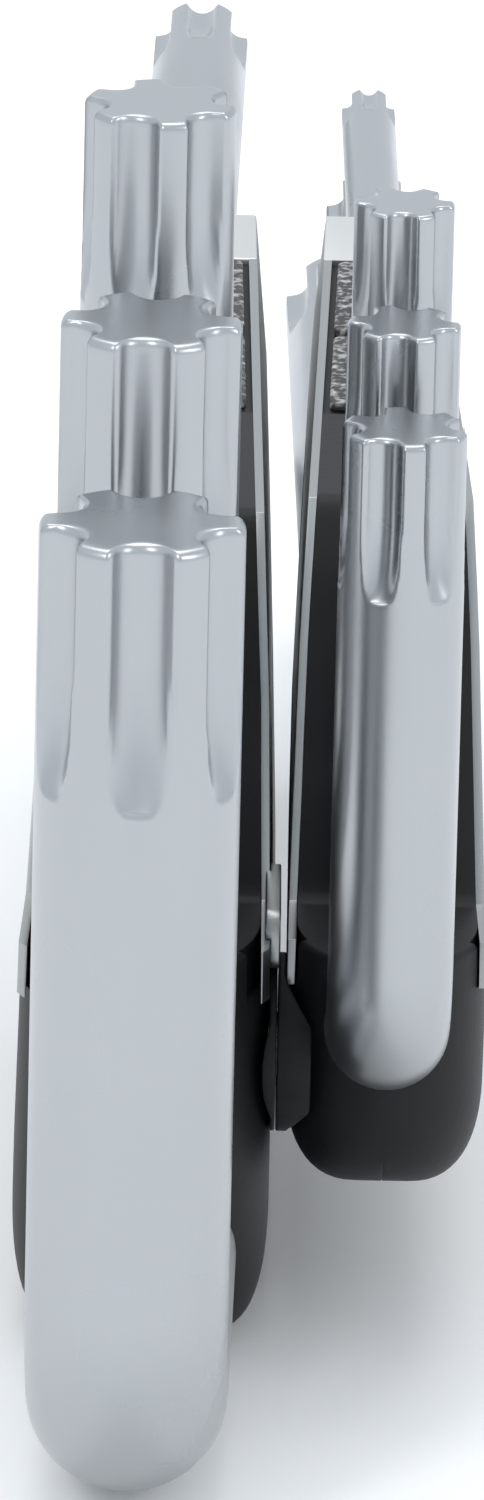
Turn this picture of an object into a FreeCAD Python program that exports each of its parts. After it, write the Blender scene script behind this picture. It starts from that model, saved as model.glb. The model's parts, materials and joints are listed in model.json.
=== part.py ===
import FreeCAD, Part
import json
import math
import os

# Star-key set in a twin-bar holder, in millimetres.
#
# Two narrow bars lie side by side and share one pivot near the nose. Each bar holds four L-shaped
# six-lobe keys, nested one inside the next: the largest lies lowest and furthest forward. The short
# arms stand up in front of the bar and the long arms run through it and out at its far end.
#
# Each bar is drawn in its own frame (short arm of its first key on the Z axis, long arms along +Y)
# and then turned and set in place. At the end everything is moved so that the origin is at the
# centre of the bottom of the whole assembly's box.

V = FreeCAD.Vector
X_AXIS, Y_AXIS, Z_AXIS = V(1, 0, 0), V(0, 1, 0), V(0, 0, 1)

# ---- driving dimensions -------------------------------------------------------------------
BAR_TOP = 34.0          # height of both bars' top faces above the left bar's underside
BAR_END = 85.0          # far end of the bars
LINER = 0.4             # thickness of the sheet-steel liners
CAP_WALL = 0.5          # thickness of the end cap
CAP_LENGTH = 8.0        # how far the end cap reaches over the top face
BEND_FACTOR = 0.85      # bend radius of a key at its centre line, over its diameter
ROOT_RATIO = 0.72       # root diameter of the six-lobe section, over its outer diameter
FLUTE_RATIO = 0.17      # radius of one flute, over the outer diameter
FLUTE_LENGTH = 1.32     # length of the flutes, over the outer diameter
TIP_CHAMFER = 0.05      # chamfer at a key's ends, over its diameter
BORE_GAP = 0.1          # radial room between a long arm and the plastic bar
MOUTH_GAP = 1.35        # radial room for the end of a bend inside the nose
BUSH_GAP = 0.06         # radial running clearance between a long arm and its bush
BUSH_WALL = 0.25
BUSH_LENGTH = 7.0
BUSH_PITCH = 8.0        # distance from one bush to the next along the bar
PAD_DEPTH = 0.3         # how deep the grip pads are let in
PAD_PROUD = 0.15        # how far they stand out
PAD_BORDER = 0.3        # plastic left between a grip pad and the liners
PIVOT_Y, PIVOT_Z = 26.5, 13.6
PIVOT_SHANK_R = 1.5
PIVOT_HEAD_R = 2.4
PIVOT_HEAD_X = (4.9, 5.2)       # the pin's head inside the left bar's wall
PIVOT_TAIL_X = (7.65, 7.95)     # its spread tail inside the right bar's wall
PIVOT_GAP = 0.05                # running clearance round the pin and beside its tail
SPACER_R = 4.05
SPACER_X = (5.0, 6.42)          # spacer disc, from inside the left bar to its bearing face
BOSS_X = (6.47, 8.0)            # boss disc, from its bearing face to inside the right bar
TAB_X = (5.8, 6.5)              # tab beside the spacer
TAB_Z = (17.8, 20.6)
RIVET_R = 0.7
RIVET_HEAD_R = 1.4
RIVET_HEAD = 0.3
RIVET_DEPTH = 1.2

# name, shaft diameter, place of the short arm, height of the long arm's axis, height of the short
# arm's tip above that axis, place of the long arm's tip, turn of the short tip's lobes in degrees,
# turn of the long arm away from the bar's own line in degrees
LEFT_KEYS = [
    ("star_key_50", 8.90, 0.0, 5.0, 42.9, 96.0, 31.5, 0.0),
    ("star_key_45", 7.90, 10.9, 15.2, 38.1, 102.0, 27.0, 0.0),
    ("star_key_40", 6.75, 20.8, 23.3, 36.7, 103.0, 11.5, 0.0),
    ("star_key_25_long", 4.75, 29.0, 29.85, 17.0, 123.6, 30.0, 0.0),
]
RIGHT_KEYS = [
    ("star_key_30", 5.60, 0.0, 15.7, 30.0, 105.0, 7.5, 0.55),
    ("star_key_27", 5.05, 6.3, 22.6, 25.8, 90.0, 22.0, 0.0),
    ("star_key_25", 4.50, 12.1, 28.0, 24.1, 83.0, 26.0, 0.0),
    ("star_key_10", 2.65, 16.7, 31.9, 9.0, 87.2, 30.0, 0.15),
]

# A bar: its keys, its place and turn, the y of its nose and far end, the height of its underside,
# the half widths of its section as (half width, height) from bottom to top at y = 0 and at its far
# end, the line of its front from the nose up to the top face, the half width and far edge of its
# underside, the height its rear ramp reaches, the roundings of its nose, and its bushes' start.
LEFT = dict(
    side="left", keys=LEFT_KEYS, place=(0.0, 0.0), turn=-0.95, nose=19.5, end=BAR_END, base=0.0,
    near=[(6.1, 6.2), (6.12, 9.0), (6.0, 26.5), (5.9, BAR_TOP)],
    far=[(5.2, 6.2), (5.1, 9.0), (4.15, 26.5), (3.45, BAR_TOP)],
    front=[(29.0, 19.5), (35.6, 27.0), (40.6, BAR_TOP)], outside=-1, liner_foot=17.0, flat=3.8,
    ramp_start=57.0, ramp_top=26.5, chin=8.0, nose_length=7.0, bush_start=36.0,
)
RIGHT = dict(
    side="right", keys=RIGHT_KEYS, place=(11.4, 19.3), turn=0.50, nose=2.6, end=BAR_END - 19.3,
    base=7.0,
    near=[(4.6, 12.2), (4.65, 16.0), (4.55, 28.6), (4.5, BAR_TOP)],
    far=[(3.72, 12.2), (3.66, 16.0), (3.0, 28.6), (2.5, BAR_TOP)],
    front=[(10.4, 19.2), (20.5, 30.9), (23.5, BAR_TOP)], outside=1, liner_foot=17.0, flat=1.5,
    ramp_start=32.0, ramp_top=27.0, chin=5.5, nose_length=4.5, bush_start=20.0,
)


# ---- small helpers ------------------------------------------------------------------------
def box(lo, hi):
    return Part.makeBox(hi[0] - lo[0], hi[1] - lo[1], hi[2] - lo[2], V(*lo))


def tube(outer, inner, length, base, axis):
    return Part.makeCylinder(outer, length, base, axis).cut(Part.makeCylinder(inner, length, base, axis))


def fuse(shapes):
    joined = shapes[0]
    for shape in shapes[1:]:
        joined = joined.fuse(shape)
    return joined.removeSplitter()


# ---- keys ---------------------------------------------------------------------------------
def rod_end(radius, length, base, axis):
    """A cylinder whose far edge is chamfered."""
    chamfer = 2 * radius * TIP_CHAMFER
    rod = Part.makeCylinder(radius, length - chamfer, base, axis)
    cone = Part.makeCone(radius, radius - chamfer, chamfer, base + axis * (length - chamfer), axis)
    return rod.fuse(cone)


def flutes(diameter, tip, axis, first, turn):
    """Six round-ended cutters that leave a six-lobe section at the end of a rod.

    first is the direction, square to axis, that the turn of the lobes is counted from.
    """
    radius = FLUTE_RATIO * diameter
    offset = ROOT_RATIO * diameter / 2 + radius
    length = FLUTE_LENGTH * diameter
    second = axis.cross(first)
    cutters = []
    for k in range(6):
        a = math.radians(turn + 30 + 60 * k)
        centre = tip + (first * math.cos(a) + second * math.sin(a)) * offset
        start = centre - axis * (length - radius)
        cutters.append(Part.makeCylinder(radius, length, start, axis))
        cutters.append(Part.makeSphere(radius, start))
    return cutters


def key(diameter, y, z, rise, reach, turn):
    """One L-shaped key with a six-lobe section at both ends."""
    r, bend = diameter / 2, BEND_FACTOR * diameter
    short = rod_end(r, rise - bend, V(0, y, z + bend), Z_AXIS)
    circle = Part.Face(Part.Wire(Part.makeCircle(r, V(0, y, z + bend), Z_AXIS)))
    elbow = circle.revolve(V(0, y + bend, z + bend), X_AXIS, 90)
    long_arm = rod_end(r, reach - y - bend, V(0, y + bend, z), Y_AXIS)
    body = fuse([short, elbow, long_arm])
    cutters = flutes(diameter, V(0, y, z + rise), Z_AXIS, V(0, -1, 0), turn)
    cutters += flutes(diameter, V(0, reach, z), Y_AXIS, Z_AXIS, 30)
    return body.cut(Part.makeCompound(cutters))


# ---- bars ---------------------------------------------------------------------------------
def section_wire(sides, base, flat, y):
    """Outline of the section in the plane at y: sloping sides over a round keel with a narrow flat."""
    w0, z0 = sides[0]
    diagonal = math.sqrt(0.5)
    mid = V(flat + (w0 - flat) * diagonal, y, z0 - (z0 - base) * diagonal)
    foot = V(flat, y, base)
    right = [V(w, y, z) for w, z in sides]
    left = [V(-w, y, z) for w, z in sides]
    edges = [Part.Arc(foot, mid, right[0]).toShape()]
    edges += [Part.LineSegment(a, b).toShape() for a, b in zip(right, right[1:])]
    edges.append(Part.LineSegment(right[-1], left[-1]).toShape())
    edges += [Part.LineSegment(b, a).toShape() for a, b in reversed(list(zip(left, left[1:])))]
    edges.append(Part.Arc(left[0], V(-mid.x, y, mid.z), V(-foot.x, y, base)).toShape())
    edges.append(Part.LineSegment(V(-foot.x, y, base), foot).toShape())
    return Part.Wire(edges)


def cross_section(bar, inset=0.0):
    """The bar's section, narrowing steadily from y = 0 to the far end."""
    wires = []
    for y in (-2.0, bar["end"] + 2.0):
        t = y / bar["end"]
        sides = [(a + (b - a) * t - inset, z) for (a, z), (b, _) in zip(bar["near"], bar["far"])]
        wires.append(section_wire(sides, bar["base"], bar["flat"], y))
    return Part.makeLoft(wires, True, True)


def side_profile(bar):
    """The bar seen from the side, as a thick slab across X."""
    nose, base, back, half = bar["nose"], bar["base"], bar["end"], 12.0
    chin, corner, slant = bar["chin"], 1.6, math.sqrt(0.5)

    def p(y, z):
        return V(-half, y, z)

    def line(a, b):
        return Part.LineSegment(a, b).toShape()

    low_middle = p(nose + chin * (1 - slant), base + chin * (1 - slant))
    steps = [p(nose, base + chin), p(nose, bar["front"][0][1])] + [p(y, z) for y, z in bar["front"]]
    end_top, end_high = p(back - corner, BAR_TOP), p(back, BAR_TOP - corner)
    bend = p(back - corner * (1 - slant), BAR_TOP - corner * (1 - slant))
    steps.append(end_top)
    foot = [end_high, p(back, bar["ramp_top"]), p(bar["ramp_start"], base), p(nose + chin, base)]
    edges = [line(a, b) for a, b in zip(steps, steps[1:])]
    edges.append(Part.Arc(end_top, bend, end_high).toShape())
    edges += [line(a, b) for a, b in zip(foot, foot[1:])]
    edges.append(Part.Arc(foot[-1], low_middle, steps[0]).toShape())
    return Part.Face(Part.Wire(edges)).extrude(V(2 * half, 0, 0))


def plan_profile(bar):
    """The bar seen from above: straight sides and a rounded nose."""
    half, nose, end, depth = bar["near"][0][0] + 0.1, bar["nose"], bar["end"] + 3.0, bar["nose_length"]
    flat = 0.15 * half
    slant = math.sqrt(0.5)
    middle = V(flat + (half - flat) * slant, nose + depth * (1 - slant), 0)
    a, b, far = V(flat, nose, 0), V(half, nose + depth, 0), V(half, end, 0)
    other_a, other_b, other_far = V(-a.x, a.y, 0), V(-b.x, b.y, 0), V(-far.x, far.y, 0)
    other_middle = V(-middle.x, middle.y, 0)
    edges = [
        Part.Arc(a, middle, b).toShape(),
        Part.LineSegment(b, far).toShape(),
        Part.LineSegment(far, other_far).toShape(),
        Part.LineSegment(other_far, other_b).toShape(),
        Part.Arc(other_b, other_middle, other_a).toShape(),
        Part.LineSegment(other_a, a).toShape(),
    ]
    slab = Part.Face(Part.Wire(edges)).extrude(V(0, 0, BAR_TOP + 6))
    slab.translate(V(0, 0, -3))
    return slab


def along_arm(entry, shape):
    """Turns a shape made along Y to follow one key's long arm."""
    _, _, y, _, _, _, _, skew = entry
    turned = shape.copy()
    turned.rotate(V(0, y, 0), Z_AXIS, skew)
    return turned


def arm_bores(bar, room, y0, y1):
    """Straight bores along the long arms, between two places."""
    return [along_arm(entry, Part.makeCylinder(entry[1] / 2 + room, y1 - y0, V(0, y0, entry[3]), Y_AXIS))
            for entry in bar["keys"]]


def between(bar, low, high):
    """Height midway between two neighbouring long arms."""
    a, b = bar["keys"][low], bar["keys"][high]
    return (a[3] + a[1] / 2 + b[3] - b[1] / 2) / 2


def rivet_places(bar):
    """(y, z) of the liner rivets, between the long arms."""
    end = bar["end"]
    first = 1 if bar["side"] == "left" else 0
    middle, upper = between(bar, 1, 2), between(bar, 2, 3)
    return [(end - 40.0, between(bar, first, first + 1)), (end - 14.0, middle), (end - 26.0, upper)]


def side_width(bar, y, z):
    """Half width of the bar at a place on its sloping sides."""
    widths = []
    for pairs in (bar["near"], bar["far"]):
        for (w0, z0), (w1, z1) in zip(pairs, pairs[1:]):
            if z0 <= z <= z1:
                widths.append(w0 + (w1 - w0) * (z - z0) / (z1 - z0))
                break
    return widths[0] + (widths[1] - widths[0]) * y / bar["end"]


def half_space(sign, end):
    """Everything on one side of a bar's middle plane."""
    low, high = (0, 12) if sign > 0 else (-12, 0)
    return box((low, -5, -5), (high, end + 5, BAR_TOP + 5))


def bar_parts(bar):
    """Every fixed piece of one bar, in the bar's own frame."""
    side, end, out = bar["side"], bar["end"], bar["outside"]
    parts = {}
    whole = cross_section(bar).common(side_profile(bar)).common(plan_profile(bar))
    core = cross_section(bar, LINER)

    # the end cap wraps the far end and the last stretch of the top face
    cap_zone = box((-10, end - CAP_WALL, bar["base"] + 2.0), (10, end + 1, BAR_TOP + 1)).fuse(
        box((-10, end - CAP_LENGTH, BAR_TOP - CAP_WALL), (10, end + 1, BAR_TOP + 1)))
    cap = whole.common(cap_zone).cut(Part.makeCompound(arm_bores(bar, BORE_GAP, end - 2, end + 1)))
    parts[side + "_end_cap"] = cap

    # liners lie flush in the sides, behind the nose
    liner_zone = box((-10, bar["nose"] + 3.0, bar["liner_foot"]), (10, end - CAP_WALL, BAR_TOP + 1)).cut(core)
    liners = whole.common(liner_zone).cut(cap_zone)
    outer_half, inner_half = half_space(out, end), half_space(-out, end)

    # liner rivets pass through the outer liner into the plastic between the arms
    rivets, rivet_holes = [], []
    for y, z in rivet_places(bar):
        w = side_width(bar, y, z)
        rivets.append(Part.makeCylinder(RIVET_HEAD_R, RIVET_HEAD, V(out * (w - 0.02), y, z), X_AXIS * out).fuse(
            Part.makeCylinder(RIVET_R, RIVET_DEPTH, V(out * (w + 0.1), y, z), X_AXIS * -out)))
        rivet_holes.append(Part.makeCylinder(RIVET_R, RIVET_DEPTH + 2, V(out * (w + 2.1), y, z), X_AXIS * -out))
        rivet_holes.append(Part.makeCylinder(RIVET_HEAD_R, 2, V(out * (w - 0.02), y, z), X_AXIS * out))
    holes = Part.makeCompound(rivet_holes)
    parts[side + "_liner_rivets"] = Part.makeCompound([r.removeSplitter() for r in rivets])
    parts[side + "_outer_liner"] = liners.common(outer_half).cut(holes)
    parts[side + "_inner_liner"] = liners.common(inner_half)

    # grip pads are let into the top face
    pads, pockets = [], []
    for name, y0, y1 in (("rear", end - 18.8, end - 8.5), ("front", end - 29.4, end - 19.6)):
        wide, narrow = [side_width(bar, y, BAR_TOP) - LINER - PAD_BORDER for y in (y0, y1)]
        low = BAR_TOP - PAD_DEPTH
        corners = [V(-wide, y0, low), V(wide, y0, low), V(narrow, y1, low), V(-narrow, y1, low)]
        pad = Part.Face(Part.makePolygon(corners + corners[:1])).extrude(V(0, 0, PAD_DEPTH + PAD_PROUD))
        pad = pad.makeFillet(0.5, [e for e in pad.Edges if abs(e.tangentAt(e.FirstParameter).z) > 0.9])
        pads.append((f"{side}_{name}_grip_pad", pad))
        pockets.append(pad)
    parts.update(pads)

    # plastic shell, split down the middle into two halves
    shell = whole.cut(cap_zone).cut(liner_zone).cut(Part.makeCompound(pockets))
    shell = shell.cut(Part.makeCompound(arm_bores(bar, BORE_GAP, -5, end + 1)))
    bushes, seats = [], []
    for k, entry in enumerate(bar["keys"]):
        name, d, y, z = entry[:4]
        bend_end = y + BEND_FACTOR * d
        if bend_end > bar["nose"] and k == 0:
            mouth = Part.makeCylinder(d / 2 + MOUTH_GAP, bend_end + 0.4 + 5, V(0, -5, z), Y_AXIS)
            shell = shell.cut(along_arm(entry, mouth))
        start = V(0, bar["bush_start"] + BUSH_PITCH * k, z)
        outer = d / 2 + BUSH_GAP + BUSH_WALL
        bush = along_arm(entry, tube(outer, d / 2 + BUSH_GAP, BUSH_LENGTH, start, Y_AXIS))
        bushes.append((name.replace("star_key", side + "_bush"), bush))
        seats.append(along_arm(entry, Part.makeCylinder(outer, BUSH_LENGTH, start, Y_AXIS)))
    shell = shell.cut(Part.makeCompound(seats)).cut(holes)
    parts[side + "_outer_shell"] = shell.common(outer_half)
    parts[side + "_inner_shell"] = shell.common(inner_half)
    parts.update(bushes)
    return whole, parts


def place(bar, shape):
    """Carries a shape from a bar's own frame into the assembly."""
    moved = shape.copy()
    moved.rotate(V(0, 0, 0), Z_AXIS, bar["turn"])
    moved.translate(V(bar["place"][0], bar["place"][1], 0))
    return moved


def disc(radius, span, extra=0.0):
    """A disc on the pivot's axis between two places along X."""
    return Part.makeCylinder(radius + extra, span[1] - span[0] + 2 * extra,
                             V(span[0] - extra, PIVOT_Y, PIVOT_Z), X_AXIS)


def pivot_parts(left_whole, right_whole):
    """The pin that joins the bars, the spacer and tab on the left bar, the boss on the right one."""
    parts = {}
    shank = (PIVOT_HEAD_X[0], PIVOT_TAIL_X[1])
    head, tail = disc(PIVOT_HEAD_R, PIVOT_HEAD_X), disc(PIVOT_HEAD_R, PIVOT_TAIL_X)
    parts["pivot_pin"] = fuse([head, disc(PIVOT_SHANK_R, shank), tail])
    spacer = disc(SPACER_R, SPACER_X)
    parts["pivot_spacer"] = spacer.cut(left_whole).cut(disc(PIVOT_SHANK_R, shank))
    tab = box((TAB_X[0], PIVOT_Y - 2.5, TAB_Z[0]), (TAB_X[1], PIVOT_Y + 5.0, TAB_Z[1]))
    tab = tab.makeFillet(1.0, [e for e in tab.Edges if abs(e.tangentAt(e.FirstParameter).x) > 0.9])
    parts["pivot_stop_tab"] = tab.cut(spacer).cut(left_whole)
    boss = disc(SPACER_R, BOSS_X).cut(right_whole).cut(disc(PIVOT_SHANK_R + PIVOT_GAP, BOSS_X))
    parts["pivot_boss"] = boss
    return parts


def main():
    nodes, wholes = {}, {}
    for bar in (LEFT, RIGHT):
        whole, fixed = bar_parts(bar)
        wholes[bar["side"]] = place(bar, whole)
        for name, shape in fixed.items():
            nodes[name] = place(bar, shape)
        for entry in bar["keys"]:
            nodes[entry[0]] = place(bar, along_arm(entry, key(*entry[1:7])))
    nodes.update(pivot_parts(wholes["left"], wholes["right"]))
    through = (PIVOT_HEAD_X[1] - 0.1, PIVOT_TAIL_X[0] + 0.1)
    head_seat = fuse([disc(PIVOT_HEAD_R, PIVOT_HEAD_X), disc(PIVOT_SHANK_R, through)])
    tail_seat = fuse([disc(PIVOT_HEAD_R, PIVOT_TAIL_X, PIVOT_GAP), disc(PIVOT_SHANK_R + PIVOT_GAP, through)])
    nodes["left_inner_shell"] = nodes["left_inner_shell"].cut(head_seat)
    nodes["right_inner_shell"] = nodes["right_inner_shell"].cut(tail_seat)
    everything = Part.makeCompound(list(nodes.values())).optimalBoundingBox(False, False)
    origin = V(-everything.Center.x, -everything.Center.y, -everything.ZMin)
    os.makedirs("parts", exist_ok=True)
    for name, shape in nodes.items():
        shape.translate(origin)
        shape.exportStep(f"parts/{name}.step")
        state = "" if shape.isValid() and shape.Solids else "  NOT A VALID SOLID"
        print(f"{name:26s} {len(shape.Solids)} solids {shape.Volume:9.1f} mm3{state}")
    print("ORIGIN", json.dumps([origin.x, origin.y, origin.z]))


main()
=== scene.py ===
"""Looks of the six-lobe key set. Everything is in metres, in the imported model's frame."""
import json
import math
import bmesh
import bpy
from mathutils import Matrix, Vector


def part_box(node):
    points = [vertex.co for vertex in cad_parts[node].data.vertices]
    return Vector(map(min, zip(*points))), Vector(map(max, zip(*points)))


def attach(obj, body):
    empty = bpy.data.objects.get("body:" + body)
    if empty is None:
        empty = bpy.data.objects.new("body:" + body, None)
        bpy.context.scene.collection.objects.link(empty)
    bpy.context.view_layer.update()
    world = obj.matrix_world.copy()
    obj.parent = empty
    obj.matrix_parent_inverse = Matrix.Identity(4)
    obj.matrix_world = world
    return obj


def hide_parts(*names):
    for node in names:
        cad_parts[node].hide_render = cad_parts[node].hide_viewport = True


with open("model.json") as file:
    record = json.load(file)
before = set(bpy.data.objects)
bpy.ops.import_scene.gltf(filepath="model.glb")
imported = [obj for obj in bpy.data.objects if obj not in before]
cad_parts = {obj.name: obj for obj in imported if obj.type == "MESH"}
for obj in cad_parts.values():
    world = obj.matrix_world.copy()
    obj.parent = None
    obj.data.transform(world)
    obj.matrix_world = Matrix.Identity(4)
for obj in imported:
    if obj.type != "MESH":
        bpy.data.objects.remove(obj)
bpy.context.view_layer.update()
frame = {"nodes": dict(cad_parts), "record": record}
MM = 0.001

# ---- driving values -----------------------------------------------------------------------
# shaft diameter of each key, turn of the short tip's lobes in degrees
KEYS = {
    "star_key_50": (8.90, 31.5), "star_key_45": (7.90, 27.0), "star_key_40": (6.75, 11.5),
    "star_key_25_long": (4.75, 30.0), "star_key_30": (5.60, 7.5), "star_key_27": (5.05, 22.0),
    "star_key_25": (4.50, 26.0), "star_key_10": (2.65, 30.0),
}
BEND_FACTOR = 0.85          # bend radius at the centre line, over the diameter
ROOT_RATIO = 0.72           # root diameter of the lobed section, over the outer diameter
FLUTE_RATIO = 0.17          # radius of one flute, over the outer diameter
FLUTE_LENGTH = 1.32         # length of the flutes, over the diameter
RUN_OUT = 0.80              # length over which a flute fades out, over the diameter
LOBE_ROUND = 0.032          # rounding of the lobes' corners, over the diameter
TIP_ROUND = 0.05            # rounding of a key's end, over the diameter
FLUTE_UP = math.pi / 6      # turn of the long arm's lobes, with a flute uppermost
AROUND = 180                # points round a key
EVEN_RINGS, FADE_RINGS = 12, 28     # rings of points down a flute, then down its fading end
BEND_RINGS = 28             # rings round a bend
SHAFT_STEPS = 6             # steps along the plain part of an arm
PAST_FLUTES = 1.03          # where the plain part starts, over the flutes' length
TIP_INNER = 0.9             # size of the inner ring on a key's end face, over its outline

# camera, measured from the foot of the largest key's short arm
CAMERA_FROM_KEY = Vector((2.12, -583.69, 255.41)) * MM
CAMERA_PITCH, CAMERA_YAW, CAMERA_ROLL = math.radians(20.47), math.radians(0.23), math.radians(1.34)
CAMERA_LENS, CAMERA_SENSOR = 348.0, 36.0


# ---- materials ----------------------------------------------------------------------------
def material(name, colour, metallic, roughness):
    """A plain principled material, and its nodes for a procedural finish on top."""
    made = bpy.data.materials.new(name)
    made.use_nodes = True
    shader = made.node_tree.nodes["Principled BSDF"]
    shader.inputs["Base Color"].default_value = (*colour, 1)
    shader.inputs["Metallic"].default_value = metallic
    shader.inputs["Roughness"].default_value = roughness
    return made, shader


def texture(made, kind, scale, **settings):
    """A procedural texture in object coordinates."""
    nodes, links = made.node_tree.nodes, made.node_tree.links
    place = nodes.new("ShaderNodeTexCoord")
    stretch = nodes.new("ShaderNodeMapping")
    stretch.inputs["Scale"].default_value = scale
    links.new(place.outputs["Object"], stretch.inputs["Vector"])
    node = nodes.new(kind)
    links.new(stretch.outputs["Vector"], node.inputs["Vector"])
    for key, value in settings.items():
        node.inputs[key].default_value = value
    return node


def bump(made, shader, source, strength, distance):
    node = made.node_tree.nodes.new("ShaderNodeBump")
    node.inputs["Strength"].default_value = strength
    node.inputs["Distance"].default_value = distance
    made.node_tree.links.new(source, node.inputs["Height"])
    made.node_tree.links.new(node.outputs["Normal"], shader.inputs["Normal"])


def ramp(made, source, low, high, start=0.0, end=1.0):
    """Maps a value to a range."""
    node = made.node_tree.nodes.new("ShaderNodeMapRange")
    made.node_tree.links.new(source, node.inputs["Value"])
    node.inputs["From Min"].default_value, node.inputs["From Max"].default_value = start, end
    node.inputs["To Min"].default_value, node.inputs["To Max"].default_value = low, high
    return node.outputs["Result"]


def chrome():
    made, shader = material("satin_chrome", (0.43, 0.445, 0.46), 1.0, 0.24)
    cloud = texture(made, "ShaderNodeTexNoise", (90, 90, 90), Scale=1.0, Detail=4.0)
    made.node_tree.links.new(ramp(made, cloud.outputs["Fac"], 0.25, 0.36, 0.3, 0.7),
                             shader.inputs["Roughness"])
    grain = texture(made, "ShaderNodeTexNoise", (2600, 2600, 2600), Scale=1.0, Detail=3.0)
    bump(made, shader, grain.outputs["Fac"], 0.12, 0.00002)
    return made


def black_plastic():
    made, shader = material("black_plastic", (0.010, 0.011, 0.012), 0.0, 0.5)
    shader.inputs["Specular IOR Level"].default_value = 0.22
    grain = texture(made, "ShaderNodeTexNoise", (3200, 3200, 3200), Scale=1.0, Detail=2.0)
    bump(made, shader, grain.outputs["Fac"], 0.25, 0.00004)
    return made


def brushed(name, colour, roughness):
    made, shader = material(name, colour, 1.0, roughness)
    lines = texture(made, "ShaderNodeTexNoise", (900, 60, 9000), Scale=1.0, Detail=3.0)
    bump(made, shader, lines.outputs["Fac"], 0.18, 0.00002)
    made.node_tree.links.new(ramp(made, lines.outputs["Fac"], roughness - 0.06, roughness + 0.08),
                             shader.inputs["Roughness"])
    return made


def speckled():
    """Coarse grip texture: grey grains in black."""
    made, shader = material("speckled_grip", (0.05, 0.05, 0.05), 0.0, 0.6)
    grains = texture(made, "ShaderNodeTexNoise", (2200, 2200, 2200), Scale=1.0, Detail=4.0)
    mix = made.node_tree.nodes.new("ShaderNodeMix")
    mix.data_type = "RGBA"
    mix.inputs["A"].default_value = (0.03, 0.03, 0.03, 1)
    mix.inputs["B"].default_value = (0.42, 0.42, 0.41, 1)
    made.node_tree.links.new(ramp(made, grains.outputs["Fac"], 0.0, 1.0, 0.48, 0.66), mix.inputs["Factor"])
    made.node_tree.links.new(mix.outputs["Result"], shader.inputs["Base Color"])
    bump(made, shader, grains.outputs["Fac"], 0.6, 0.0001)
    return made


FINISHES = {
    "chrome": chrome(), "shell_plastic": black_plastic(),
    "liner_steel": brushed("liner_steel", (0.34, 0.35, 0.35), 0.36),
    "cap_steel": brushed("cap_steel", (0.66, 0.66, 0.65), 0.38),
    "rivet_steel": brushed("rivet_steel", (0.62, 0.62, 0.62), 0.28),
    "pad_plastic": speckled(),
    "bush_plastic": material("bush_plastic", (0.25, 0.25, 0.24), 0.0, 0.5)[0],
}
SLOT_OF = {entry["node"]: entry["material_slot"] for entry in frame["record"]["subparts"]}
for name, node in frame["nodes"].items():
    node.data.materials.clear()
    node.data.materials.append(FINISHES[SLOT_OF[name]])


# ---- keys ---------------------------------------------------------------------------------
def smooth_min(a, b, k):
    """The smaller of two lengths, blended over k."""
    h = max(k - abs(a - b), 0.0) / k
    return min(a, b) - h * h * k / 4


def lobed_radius(diameter, angle, depth):
    """Radius of a key's section at an angle from a lobe, at a depth below its tip."""
    r = diameter / 2
    turned = (angle + math.pi / 6) % (math.pi / 3) - math.pi / 6
    off = math.pi / 6 - abs(turned)
    flute = FLUTE_RATIO * diameter
    centre = ROOT_RATIO * r + flute
    fade_start = (FLUTE_LENGTH - RUN_OUT) * diameter
    past = max(0.0, depth - fade_start) / (RUN_OUT * diameter)
    if past < 1.0:
        centre += flute * (1 - math.sqrt(1 - past * past))
        inside = flute * flute - (centre * math.sin(off)) ** 2
        if inside > 0:
            cut = centre * math.cos(off) - math.sqrt(inside)
        else:
            cut = centre * math.cos(off) + (math.sqrt(-inside) if inside < 0 else 0)
        r = smooth_min(r, cut, LOBE_ROUND * diameter * 2)
    edge = TIP_ROUND * diameter
    if depth < edge:
        r -= edge - math.sqrt(edge * edge - (edge - depth) ** 2)
    return r


def tip_depths(diameter):
    """Depths below a tip at which the lobed end has a ring of points."""
    edge, fade, end = TIP_ROUND * diameter, (FLUTE_LENGTH - RUN_OUT) * diameter, FLUTE_LENGTH * diameter
    depths = [edge * (1 - math.cos(math.radians(a))) for a in (0, 15, 30, 45, 60, 75, 90)]
    depths += [edge + (fade - edge) * k / EVEN_RINGS for k in range(1, EVEN_RINGS + 1)]
    depths += [fade + (end - fade) * math.sin(math.radians(90 * k / FADE_RINGS))
               for k in range(1, FADE_RINGS + 1)]
    return depths + [end * PAST_FLUTES]


def arm_rings(diameter, corner, outward, length, axis, front, turn):
    """Rings of one straight arm, from its tip towards the bend."""
    bend, plain = BEND_FACTOR * diameter, FLUTE_LENGTH * PAST_FLUTES * diameter
    depths = tip_depths(diameter)
    depths += [plain + (length - bend - plain) * k / SHAFT_STEPS for k in range(1, SHAFT_STEPS)]
    return [(corner + outward * (length - depth), axis, front, turn, depth) for depth in depths]


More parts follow.
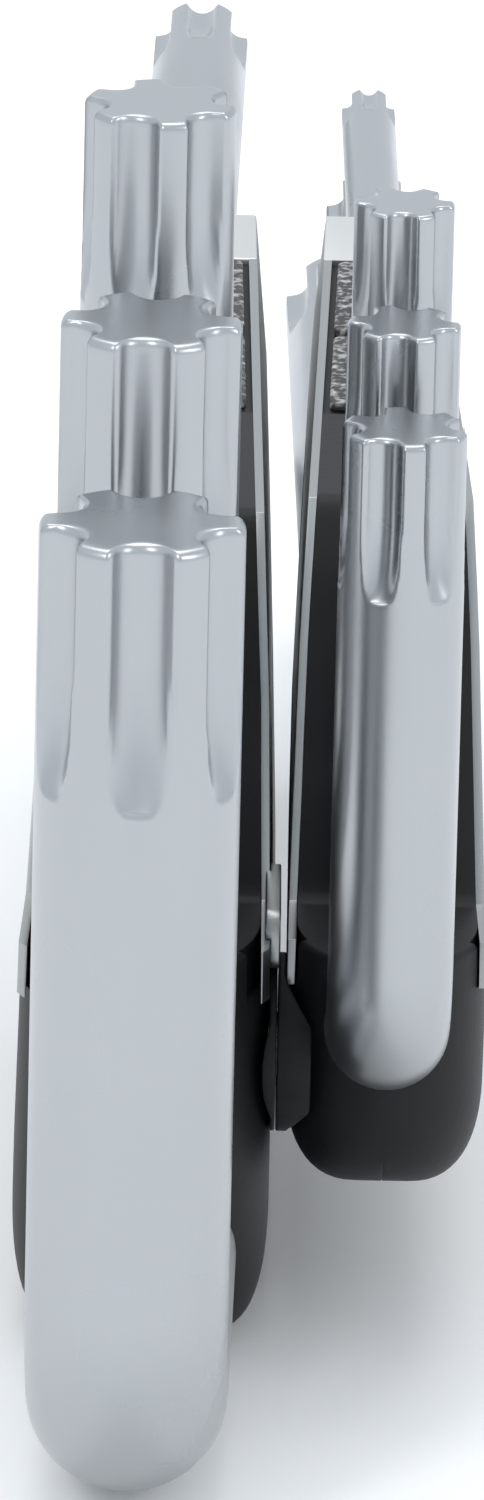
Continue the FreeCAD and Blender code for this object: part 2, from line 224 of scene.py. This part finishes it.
def key_mesh(name):
    """An L-shaped key as rings of points along its centre line, standing for its CAD node."""
    joint = next(j for j in frame["record"]["behaviour"]["joints"] if j["child"] == name + "_body")
    diameter, turn = KEYS[name][0] * MM, math.radians(KEYS[name][1])
    _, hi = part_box(name)
    corner, along, up = Vector(joint["pos_m"]), Vector(joint["axis"]).normalized(), Vector((0, 0, 1))
    rise = hi[2] - corner.z
    reach = (hi[1] - corner.y) / along.y
    bend = BEND_FACTOR * diameter
    rings = arm_rings(diameter, corner, up, rise, up, -along, turn)
    for k in range(BEND_RINGS + 1):
        a = math.radians(90) * k / BEND_RINGS
        centre = corner + along * bend + up * bend
        spoke = -along * math.cos(a) - up * math.sin(a)
        tangent = up * math.cos(a) - along * math.sin(a)
        rings.append((centre + spoke * bend, tangent, spoke, turn, 1.0))
    rings += reversed(arm_rings(diameter, corner, along, reach, -along, -up, FLUTE_UP))
    mesh = bmesh.new()
    loops = []
    for centre, axis, front, offset, depth in rings:
        second = axis.cross(front)
        loop = []
        for i in range(AROUND):
            a = 2 * math.pi * i / AROUND
            r = lobed_radius(diameter, a - offset, depth)
            loop.append(mesh.verts.new(centre + (front * math.cos(a) + second * math.sin(a)) * r))
        loops.append(loop)
    for first, second in zip(loops, loops[1:]):
        for i in range(AROUND):
            j = (i + 1) % AROUND
            mesh.faces.new((first[i], first[j], second[j], second[i]))
    for loop, axis in ((loops[0], rings[0]), (loops[-1], rings[-1])):
        inner = [mesh.verts.new(axis[0] + (v.co - axis[0]) * TIP_INNER) for v in loop]
        hub = mesh.verts.new(axis[0])
        for i in range(AROUND):
            j = (i + 1) % AROUND
            mesh.faces.new((loop[i], loop[j], inner[j], inner[i]))
            mesh.faces.new((inner[i], inner[j], hub))
    bmesh.ops.recalc_face_normals(mesh, faces=mesh.faces)
    data = bpy.data.meshes.new(name + "_detail")
    mesh.to_mesh(data)
    mesh.free()
    for face in data.polygons:
        face.use_smooth = True
    made = bpy.data.objects.new(name + "_detail", data)
    bpy.context.collection.objects.link(made)
    data.materials.append(FINISHES["chrome"])
    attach(made, name + "_body")
    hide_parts(name)


for key_name in KEYS:
    key_mesh(key_name)


# ---- holder pieces with softened edges ----------------------------------------------------
def softened(node_name, body, width):
    """A copy of a CAD node with its edges rounded, standing for that node."""
    source = frame["nodes"][node_name]
    data = source.data.copy()
    made = bpy.data.objects.new(node_name + "_soft", data)
    bpy.context.collection.objects.link(made)
    mesh = bmesh.new()
    mesh.from_mesh(data)
    bmesh.ops.remove_doubles(mesh, verts=mesh.verts, dist=1e-6)
    bmesh.ops.dissolve_limit(mesh, angle_limit=math.radians(1.0), verts=mesh.verts, edges=mesh.edges)
    mesh.to_mesh(data)
    mesh.free()
    for face in data.polygons:
        face.use_smooth = True
    edge = made.modifiers.new("rounded_edges", "BEVEL")
    edge.width = width
    edge.segments = 3
    edge.limit_method = "ANGLE"
    edge.angle_limit = math.radians(35)
    edge.harden_normals = True
    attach(made, body)
    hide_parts(node_name)


# width of the rounded edges in mm, by a word in the node's name
EDGES = {
    "end_cap": 0.4, "pad": 0.12, "pivot_spacer": 0.1, "pivot_boss": 0.1, "pivot_stop_tab": 0.1,
    "rivets": 0.1, "inner_liner": 0.05, "outer_liner": 0.05,
}
for body, members in frame["record"]["behaviour"]["bodies"].items():
    for member in members:
        for word, width in EDGES.items():
            if word in member:
                softened(member, body, width * MM)


# ---- plastic bars -------------------------------------------------------------------------
BAR_TOP, LINER, LINER_FOOT = 34.0, 0.4, 17.0
CAP_WALL, CAP_LENGTH, PAD_DEPTH, PAD_ZONE = 0.5, 8.0, 0.3, 30.5
TOP_ROUND, SEAM = 0.35, 0.05
KEEL_POWER = 2.4            # how full the round keel is
TAPER = 2.2                 # how soon the flat underside gives way to the round nose
# first: joint at the foot of the bar's frame; line: joint whose axis is the bar's own line; near and
# far: half widths of the section as (half width, height); front: the line up to the top face as
# (place, height); ramp: where the underside starts to rise, and the height it reaches
BARS = {
    "left": dict(
        first="swing_50", line="swing_45", nose=19.5, nose_length=7.0, end=85.0, base=0.0,
        keel=6.2, flat=3.8, near=[(6.1, 6.2), (6.12, 9.0), (6.0, 26.5), (5.9, BAR_TOP)],
        far=[(5.2, 6.2), (5.1, 9.0), (4.15, 26.5), (3.45, BAR_TOP)],
        front=[(29.0, 19.5), (35.6, 27.0), (40.6, BAR_TOP)], ramp=(57.0, 26.5)),
    "right": dict(
        first="swing_30", line="swing_27", nose=2.6, nose_length=5.5, end=65.7, base=7.0,
        keel=12.2, flat=1.5, near=[(4.6, 12.2), (4.65, 16.0), (4.55, 28.6), (4.5, BAR_TOP)],
        far=[(3.72, 12.2), (3.66, 16.0), (3.0, 28.6), (2.5, BAR_TOP)],
        front=[(10.4, 19.2), (20.5, 30.9), (23.5, BAR_TOP)], ramp=(32.0, 27.0)),
}
LINER_LEAD = 3.0            # how far behind the nose the liners start
LINER_STEPS, KEEL_STEPS, BODY_STEPS = 8, 6, 90


def along_line(points, value):
    """Straight-line interpolation through (place, height) points."""
    if value <= points[0][0]:
        return points[0][1]
    for (a, fa), (b, fb) in zip(points, points[1:]):
        if value <= b:
            return fa + (fb - fa) * (value - a) / (b - a)
    return points[-1][1]


def bar_half_width(bar, y, z, squeeze):
    """Half width of the plastic at a height, round keel and rounded nose included."""
    z_side = max(z, bar["keel"])
    near = along_line([(h, w) for w, h in bar["near"]], z_side)
    far = along_line([(h, w) for w, h in bar["far"]], z_side)
    width = near + (far - near) * y / bar["end"]
    if z < bar["keel"]:
        drop = min(1.0, (bar["keel"] - z) / ((bar["keel"] - bar["base"]) * squeeze))
        flat = bar["flat"] * max(0.0, 1 - TAPER * (1 - squeeze))
        width = flat + (width - flat) * (1 - drop ** KEEL_POWER) ** (1 / KEEL_POWER)
    return width * squeeze


def bar_stations(bar):
    """Places along a bar where its section is drawn."""
    start = bar["nose"] + bar["nose_length"]
    places = [start - bar["nose_length"] * math.cos(math.radians(a)) for a in range(2, 90, 4)]
    places += [start + (bar["end"] - CAP_WALL - start) * k / BODY_STEPS for k in range(BODY_STEPS + 1)]
    for y in (bar["nose"] + LINER_LEAD, bar["end"] - CAP_LENGTH, bar["end"] - PAD_ZONE):
        places += [y - 0.02, y + 0.02]
    for y, _ in bar["front"]:
        places += [y - 0.5, y - 0.25, y, y + 0.25, y + 0.5]
    return sorted(set(round(y, 4) for y in places))


def bar_section(bar, y):
    """Half of the outline at one place, as (x, z) from the top centre to the bottom centre."""
    lead = max(0.0, 1 - (y - bar["nose"]) / bar["nose_length"])
    squeeze = math.sqrt(max(0.0, 1 - lead * lead))
    front = [(bar["nose"], bar["front"][0][1])] + bar["front"]
    top = sum(along_line(front, y + d) for d in (-0.4, 0, 0.4)) / 3
    if y > bar["end"] - CAP_LENGTH:
        top = BAR_TOP - CAP_WALL
    elif y > bar["end"] - PAD_ZONE:
        top = BAR_TOP - PAD_DEPTH
    low = bar["keel"] - (bar["keel"] - bar["base"]) * squeeze
    ramp_y, ramp_z = bar["ramp"]
    if y > ramp_y:
        low = bar["base"] + (ramp_z - bar["base"]) * (y - ramp_y) / (bar["end"] - ramp_y)
    inset = LINER + 0.005 if y > bar["nose"] + LINER_LEAD else 0.0
    r = TOP_ROUND if not inset else 0.02
    levels = [(top - r * (1 - math.sin(math.radians(a))), r * (1 - math.cos(math.radians(a))))
              for a in (90, 60, 30, 0)]
    levels += [(top - r + (LINER_FOOT + 0.01 - top + r) * k / LINER_STEPS, 0.0)
               for k in range(1, LINER_STEPS + 1)]
    outline = [(0.0, top - SEAM), (SEAM, top)]
    for z, trim in levels:
        width = bar_half_width(bar, y, max(z, low), squeeze) - inset - trim
        outline.append((max(width, SEAM * squeeze), max(z, low)))
    lower = [LINER_FOOT - (LINER_FOOT - bar["keel"]) * k / KEEL_STEPS for k in range(KEEL_STEPS + 1)]
    lower += [bar["keel"] - (bar["keel"] - low) * math.sin(math.radians(a)) for a in range(6, 91, 6)]
    for z in lower:
        outline.append((bar_half_width(bar, y, max(z, low), squeeze), max(z, low)))
    return outline + [(SEAM * squeeze, low), (0.0, low + SEAM * squeeze)]


def plastic_bar(side):
    """One bar's plastic as a single smooth skin, standing for its two shell halves."""
    bar = BARS[side]
    joints = {j["name"]: j for j in frame["record"]["behaviour"]["joints"]}
    foot = Vector(joints[bar["first"]]["pos_m"])
    along = Vector(joints[bar["line"]]["axis"]).normalized()
    across = along.cross(Vector((0, 0, 1)))
    mesh = bmesh.new()
    rings = []
    for y in bar_stations(bar):
        half = bar_section(bar, y)
        outline = half + [(-x, z) for x, z in reversed(half[1:-1])]
        rings.append([mesh.verts.new(Vector((foot.x, foot.y, 0)) + along * y * MM + across * x * MM
                                     + Vector((0, 0, z * MM))) for x, z in outline])
    for first, second in zip(rings, rings[1:]):
        for i in range(len(first)):
            j = (i + 1) % len(first)
            mesh.faces.new((first[i], first[j], second[j], second[i]))
    mesh.faces.new(rings[0])
    mesh.faces.new(list(reversed(rings[-1])))
    bmesh.ops.remove_doubles(mesh, verts=mesh.verts, dist=2e-6)
    bmesh.ops.dissolve_degenerate(mesh, dist=1e-7, edges=mesh.edges)
    bmesh.ops.recalc_face_normals(mesh, faces=mesh.faces)
    data = bpy.data.meshes.new(side + "_plastic_bar")
    mesh.to_mesh(data)
    mesh.free()
    data.materials.append(FINISHES["shell_plastic"])
    for face in data.polygons:
        face.use_smooth = True
    data.set_sharp_from_angle(angle=math.radians(38))
    made = bpy.data.objects.new(side + "_plastic_bar", data)
    bpy.context.collection.objects.link(made)
    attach(made, side + "_bar")
    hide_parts(side + "_outer_shell", side + "_inner_shell")


for bar_side in BARS:
    plastic_bar(bar_side)


# ---- stage, light and camera --------------------------------------------------------------
WORLD_COLOUR, WORLD_STRENGTH = (0.90, 0.95, 1.0, 1), 1.0
FLOOR_SIZE = 8.0
AIM = (0, 0, 0.03)
# name, place, size, power
SOFTBOXES = [
    ("key_light", (-0.35, -0.55, 0.65), (0.12, 0.3), 1.3),
    ("fill_light", (0.5, -0.4, 0.4), (0.10, 0.3), 0.7),
    ("top_light", (0.0, 0.25, 0.8), (0.5, 0.5), 2.0),
]


def stage():
    bpy.ops.mesh.primitive_plane_add(size=FLOOR_SIZE, location=(0, 1.5, 0))
    floor = bpy.context.object
    floor.name = "studio_floor"
    made, shader = material("pale_floor", (0.95, 0.95, 0.95), 0.0, 0.8)
    shader.inputs["Specular IOR Level"].default_value = 0.1
    floor.data.materials.append(made)
    world = bpy.data.worlds.new("studio")
    bpy.context.scene.world = world
    world.use_nodes = True
    world.node_tree.nodes["Background"].inputs["Color"].default_value = WORLD_COLOUR
    world.node_tree.nodes["Background"].inputs["Strength"].default_value = WORLD_STRENGTH
    bpy.context.scene.view_settings.view_transform = "Standard"


def softbox(name, place, size, power):
    light = bpy.data.lights.new(name, "AREA")
    light.shape = "RECTANGLE"
    light.size, light.size_y = size
    light.energy = power
    lamp = bpy.data.objects.new(name, light)
    bpy.context.collection.objects.link(lamp)
    lamp.location = place
    lamp.rotation_euler = (Vector(AIM) - Vector(place)).to_track_quat("-Z", "Y").to_euler()


def camera():
    largest = KEYS["star_key_50"][0] * MM / 2
    lo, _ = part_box("star_key_50")
    foot = Vector((lo[0] + largest, lo[1] + largest, 0))
    cp, sp = math.cos(CAMERA_PITCH), math.sin(CAMERA_PITCH)
    look = Vector((math.sin(CAMERA_YAW) * cp, math.cos(CAMERA_YAW) * cp, -sp))
    right = Vector((math.cos(CAMERA_YAW), -math.sin(CAMERA_YAW), 0))
    up = right.cross(look)
    c, s = math.cos(CAMERA_ROLL), math.sin(CAMERA_ROLL)
    right, up = right * c + up * s, up * c - right * s
    data = bpy.data.cameras.new("camera")
    data.lens, data.sensor_fit = CAMERA_LENS, "VERTICAL"
    data.sensor_width = data.sensor_height = CAMERA_SENSOR
    data.clip_start, data.clip_end = 0.01, 20.0
    made = bpy.data.objects.new("camera", data)
    bpy.context.collection.objects.link(made)
    made.matrix_world = Matrix((
        (right.x, up.x, -look.x, foot.x + CAMERA_FROM_KEY.x),
        (right.y, up.y, -look.y, foot.y + CAMERA_FROM_KEY.y),
        (right.z, up.z, -look.z, foot.z + CAMERA_FROM_KEY.z),
        (0, 0, 0, 1)))
    bpy.context.scene.camera = made


stage()
for settings in SOFTBOXES:
    softbox(*settings)
camera()
